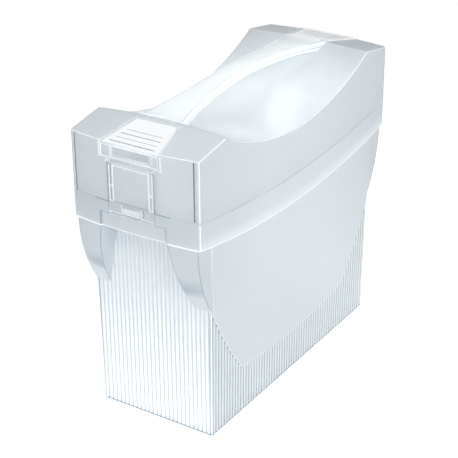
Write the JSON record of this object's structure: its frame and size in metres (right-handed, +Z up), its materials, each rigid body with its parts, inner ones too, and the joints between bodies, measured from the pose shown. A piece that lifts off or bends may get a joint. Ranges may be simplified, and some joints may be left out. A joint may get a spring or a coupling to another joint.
{
  "type": "suspension file box",
  "caption": "Deep translucent plastic box for hanging files, with a saddle-shaped lift-off lid, a carrying bar across it, and a clear swing latch and label at each end.",
  "frame": {"origin": "middle of the underside, on the surface the box stands on", "axes": "+X along the box's length towards the rear latch, +Y across its width, +Z up"},
  "size_m": [0.392, 0.153, 0.3464],
  "materials": {
    "frosted_tray": "frosted translucent polypropylene",
    "frosted_lid": "frosted translucent polypropylene",
    "frosted_bar": "frosted translucent polypropylene",
    "clear_plastic": "clear glossy",
    "label_card": "white card with ruled lines"
  },
  "bodies": {
    "tray": {"tray_shell": "frosted_tray"},
    "lid": {"lid_shell": "frosted_lid", "carry_handle": "frosted_bar", "front_label_card": "label_card", "rear_label_card": "label_card"},
    "front_latch": {"front_latch": "clear_plastic"},
    "rear_latch": {"rear_latch": "clear_plastic"},
    "front_cover": {"front_label_cover": "clear_plastic"},
    "rear_cover": {"rear_label_cover": "clear_plastic"}
  },
  "joints": [
    {"name": "lid_lift", "type": "slide", "parent": "tray", "child": "lid", "axis": [0, 0, 1], "range_m": [0, 0.15]},
    {"name": "front_latch_swing", "type": "hinge", "parent": "lid", "child": "front_latch", "pos_m": [-0.1934, 0, 0.3032], "axis": [0, 1, 0], "range_deg": [0, 110]},
    {"name": "rear_latch_swing", "type": "hinge", "parent": "lid", "child": "rear_latch", "pos_m": [0.1934, 0, 0.3032], "axis": [0, -1, 0], "range_deg": [0, 110]},
    {"name": "front_label_cover_lift", "type": "slide", "parent": "lid", "child": "front_cover", "axis": [-0.1937, 0, 0.9811], "range_m": [0, 0.02]},
    {"name": "rear_label_cover_lift", "type": "slide", "parent": "lid", "child": "rear_cover", "axis": [0.1937, 0, 0.9811], "range_m": [0, 0.02]}
  ]
}
